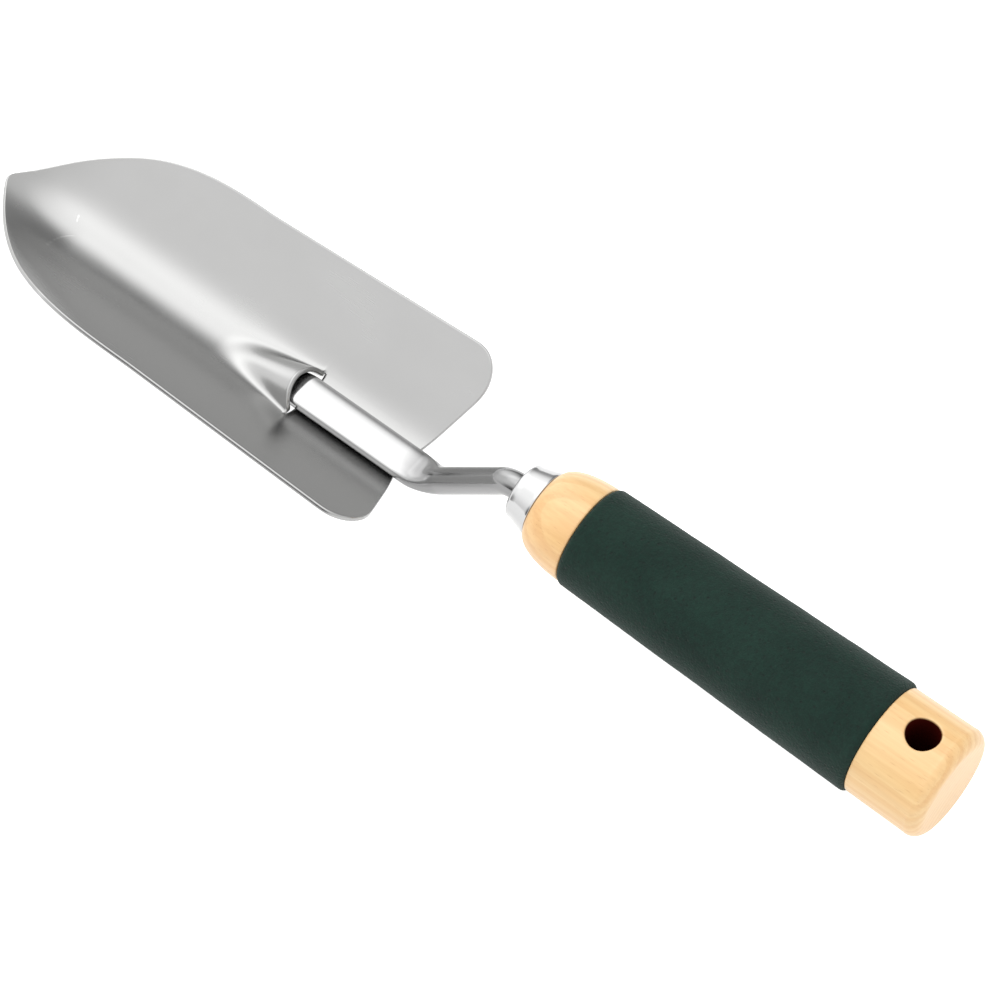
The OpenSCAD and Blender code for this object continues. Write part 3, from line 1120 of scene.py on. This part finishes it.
sheet_steel = steel("plated_sheet_steel", SHEET_TINT, rough=0.24, brush=0.07)
bar_steel = bar_steel_with_painted_shade("plated_bar_steel", BAR_TINT, rough=0.16,
                                 brush=0.06)
cup_steel = steel("plated_cup_steel", CUP_TINT, rough=0.12, brush=0.05)
dress(scoop_piece(), "scoop", sheet_steel)
dress(tang_piece(), "tang", bar_steel)
dress(ferrule_piece(), "ferrule", cup_steel)
dress(handle_piece(), "handle", wood("turned_pale_wood"))
dress(grip_piece(), "grip", foam("dark_green_foam"))


# ---------------------------------------------------------------- studio

def camera_axes():
    """The camera's right, up and back directions in the object's frame."""
    along = np.array([math.cos(VIEW_ROLL), -math.sin(VIEW_ROLL), 0.0])
    across = np.array([math.sin(VIEW_ROLL), math.cos(VIEW_ROLL), 0.0])
    back = np.array([0.0, 0.0, 1.0])
    x_axis = -(math.cos(VIEW_TILT) * along + math.sin(VIEW_TILT) * back)
    normal = math.cos(VIEW_TILT) * back - math.sin(VIEW_TILT) * along
    z_axis = math.cos(VIEW_TURN) * normal + math.sin(VIEW_TURN) * across
    y_axis = np.cross(z_axis, x_axis)
    return np.column_stack([x_axis, y_axis, z_axis])


def add_camera():
    """The photograph's camera, aimed near the front of the ferrule."""
    right, up, back = camera_axes()
    aim = np.array([FERRULE_FRONT_X, 0.0, 0.0])
    place = aim - VIEW_RIGHT * right - VIEW_UP * up + VIEW_DISTANCE * back
    data = bpy.data.cameras.new("camera")
    data.sensor_width = SENSOR
    data.lens = VIEW_LENS
    data.clip_start, data.clip_end = CLIP
    cam = bpy.data.objects.new("camera", data)
    turn = Matrix((right, up, back)).transposed()
    cam.matrix_world = Matrix.Translation(Vector(place) * MM) @ turn.to_4x4()
    bpy.context.scene.collection.objects.link(cam)
    bpy.context.scene.camera = cam


def add_floor():
    """A wide pale floor that touches the scoop's heel and the butt."""
    heel = np.array([HEEL_X + HEEL_REST, FLOOR_Z - SHEET])
    butt = np.array([handle_lo[0] + BUTT_ROUND * BUTT_REST, -BUTT_D / 2])
    slope = math.atan2(heel[1] - butt[1], heel[0] - butt[0])
    verts, faces = [[0, 0, 0]], []
    for k in range(1, FLOOR_RINGS + 1):
        r = FLOOR_RADIUS * (k / FLOOR_RINGS) ** 2
        for i in range(FLOOR_STEPS):
            a = 2 * math.pi * i / FLOOR_STEPS
            verts.append([r * math.cos(a), r * math.sin(a), 0])
    for i in range(FLOOR_STEPS):
        j = (i + 1) % FLOOR_STEPS
        faces.append([0, 1 + i, 1 + j])
        for k in range(FLOOR_RINGS - 1):
            a, b = 1 + k * FLOOR_STEPS, 1 + (k + 1) * FLOOR_STEPS
            faces.append([a + i, b + i, b + j, a + j])
    floor = add_mesh("studio_floor", verts, faces)
    middle = (heel + butt) / 2
    floor.matrix_world = (
        Matrix.Translation((middle[0] * MM, 0, (middle[1] - FLOOR_GAP) * MM))
        @ Matrix.Rotation(-slope, 4, "Y"))
    mat, tree, shader = new_material("pale_floor")
    soft = noise(tree, (30, 30, 30), Detail=3.0)
    plug(tree, shader,
         Base_Color=ramp(tree, soft, [(0.3, FLOOR_TINTS[0]), (0.7, FLOOR_TINTS[1])]),
         Roughness=0.9, Specular_IOR_Level=0.1,
         Emission_Color=(*WHITE, 1), Emission_Strength=FLOOR_GLOW)
    floor.data.materials.append(mat)


def sky_patch(tree, ray, direction, width, level):
    """A soft round patch of light about a direction, width in degrees."""
    aim = tuple(Vector(direction).normalized())
    near = node(tree, "ShaderNodeVectorMath", {0: ray, 1: aim},
                operation="DOT_PRODUCT")
    return node(tree, "ShaderNodeMapRange",
                {"Value": near.outputs["Value"],
                 "From Min": math.cos(math.radians(width)), "From Max": 1.0,
                 "To Min": 0.0, "To Max": level},
                interpolation_type="SMOOTHSTEP").outputs[0]


def add_world():
    """A white studio: an even sky with brighter boxes and darker flags."""
    world = bpy.data.worlds.new("studio")
    bpy.context.scene.world = world
    world.use_nodes = True
    tree = world.node_tree
    tree.nodes.clear()
    out = tree.nodes.new("ShaderNodeOutputWorld")
    coords = node(tree, "ShaderNodeTexCoord").outputs["Generated"]
    ray = node(tree, "ShaderNodeVectorMath", {0: coords},
               operation="NORMALIZE").outputs[0]
    total = STUDIO_LEVEL
    for direction, width, level in STUDIO_PATCHES:
        patch = sky_patch(tree, ray, direction, width, level)
        total = maths(tree, "ADD", total, patch)
    total = maths(tree, "MAXIMUM", total, SKY_FLOOR)
    back = node(tree, "ShaderNodeBackground", {"Strength": total})
    tree.links.new(back.outputs[0], out.inputs["Surface"])


add_camera()
add_floor()
add_world()
bpy.context.scene.view_settings.view_transform = "Standard"
